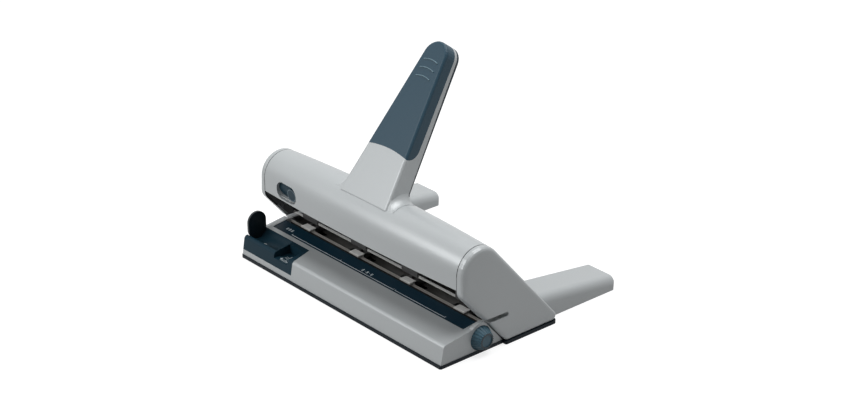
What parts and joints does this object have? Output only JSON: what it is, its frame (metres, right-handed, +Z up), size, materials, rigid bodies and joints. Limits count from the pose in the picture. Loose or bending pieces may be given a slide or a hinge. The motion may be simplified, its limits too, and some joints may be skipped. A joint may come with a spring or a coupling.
{
  "type": "adjustable four-hole lever punch",
  "caption": "Heavy-duty desk hole punch with a long upright lever, sliding punch heads, a side stop, a format knob and two rear outrigger legs.",
  "frame": {"origin": "on the resting plane, straight below the lever's axis, in the middle of the machine", "axes": "+X to the machine's right, +Y to the back, +Z up"},
  "size_m": [0.3284, 0.2419, 0.2492],
  "materials": {
    "grey_shell": "satin",
    "dark_blue": "satin",
    "soft_pad": "matte",
    "bright_steel": "brushed",
    "dark_steel": "zinc plated",
    "black_plastic": "matte"
  },
  "bodies": {
    "frame": {"base_cover": "grey_shell", "cheek_right": "grey_shell", "cheek_left": "grey_shell", "side_plate_right": "dark_steel", "side_plate_left": "dark_steel", "rear_cover": "grey_shell", "rear_leg_right": "grey_shell", "rear_leg_left": "grey_shell", "leg_pads": "black_plastic", "chassis_rail": "dark_steel", "die_rail": "bright_steel", "stop_rail": "bright_steel", "guide_beam": "bright_steel", "scale_strip": "dark_blue", "guide_insert": "dark_blue", "pivot_shaft": "bright_steel", "torsion_springs": "bright_steel", "cheek_screws": "dark_steel", "leg_screws": "dark_steel"},
    "pan": {"chip_pan": "dark_blue", "grip_pads": "black_plastic"},
    "lever": {"lever_body": "grey_shell", "lever_grip": "soft_pad", "lever_back": "dark_blue", "press_bar": "bright_steel", "shaft_bushes": "black_plastic"},
    "lock": {"lock_slider": "dark_blue"},
    "selector": {"selector_bar": "dark_steel", "selector_knob": "dark_blue"},
    "side_stop": {"guide_bar": "dark_blue", "stop_paddle": "dark_blue"},
    "head_1": {"punch_head_1": "bright_steel", "pin_spring_1": "bright_steel"},
    "pin_1": {"punch_pin_1": "bright_steel"},
    "head_2": {"punch_head_2": "bright_steel", "pin_spring_2": "bright_steel"},
    "pin_2": {"punch_pin_2": "bright_steel"},
    "head_3": {"punch_head_3": "bright_steel", "pin_spring_3": "bright_steel"},
    "pin_3": {"punch_pin_3": "bright_steel"},
    "head_4": {"punch_head_4": "bright_steel", "pin_spring_4": "bright_steel"},
    "pin_4": {"punch_pin_4": "bright_steel"}
  },
  "joints": [
    {"name": "lever_hinge", "type": "hinge", "parent": "frame", "child": "lever", "pos_m": [0, 0, 0.085], "axis": [-1, 0, 0], "range_deg": [0, 50], "stiffness_Nm_per_rad": 0.5, "springref_deg": -68.75},
    {"name": "lock_slide", "type": "slide", "parent": "lever", "child": "lock", "axis": [-1, 0, 0], "range_m": [0, 0.006]},
    {"name": "selector_turn", "type": "hinge", "parent": "frame", "child": "selector", "pos_m": [0, -0.00057, 0.0158], "axis": [1, 0, 0], "range_deg": [0, 270]},
    {"name": "side_stop_slide", "type": "slide", "parent": "frame", "child": "side_stop", "axis": [-1, 0, 0], "range_m": [0, 0.06]},
    {"name": "pan_release", "type": "slide", "parent": "frame", "child": "pan", "axis": [0, 0, -1], "range_m": [0, 0.02]},
    {"name": "head_1_slide", "type": "slide", "parent": "frame", "child": "head_1", "axis": [1, 0, 0], "range_m": [-0.015, 0.015]},
    {"name": "head_2_slide", "type": "slide", "parent": "frame", "child": "head_2", "axis": [1, 0, 0], "range_m": [-0.015, 0.015]},
    {"name": "head_3_slide", "type": "slide", "parent": "frame", "child": "head_3", "axis": [1, 0, 0], "range_m": [-0.015, 0.015]},
    {"name": "head_4_slide", "type": "slide", "parent": "frame", "child": "head_4", "axis": [1, 0, 0], "range_m": [-0.015, 0.015]},
    {"name": "pin_1_press", "type": "slide", "parent": "head_1", "child": "pin_1", "axis": [0, 0, -1], "range_m": [0, 0.0148], "stiffness_N_per_m": 200, "springref_m": -0.005, "deforming": ["pin_spring_1"]},
    {"name": "pin_2_press", "type": "slide", "parent": "head_2", "child": "pin_2", "axis": [0, 0, -1], "range_m": [0, 0.0148], "stiffness_N_per_m": 200, "springref_m": -0.005, "deforming": ["pin_spring_2"]},
    {"name": "pin_3_press", "type": "slide", "parent": "head_3", "child": "pin_3", "axis": [0, 0, -1], "range_m": [0, 0.0148], "stiffness_N_per_m": 200, "springref_m": -0.005, "deforming": ["pin_spring_3"]},
    {"name": "pin_4_press", "type": "slide", "parent": "head_4", "child": "pin_4", "axis": [0, 0, -1], "range_m": [0, 0.0148], "stiffness_N_per_m": 200, "springref_m": -0.005, "deforming": ["pin_spring_4"]}
  ],
  "couplings": [
    {"joint": "pin_1_press", "follows": "lever_hinge", "m_per_rad": 0.01684},
    {"joint": "pin_2_press", "follows": "lever_hinge", "m_per_rad": 0.01684},
    {"joint": "pin_3_press", "follows": "lever_hinge", "m_per_rad": 0.01684},
    {"joint": "pin_4_press", "follows": "lever_hinge", "m_per_rad": 0.01684}
  ]
}
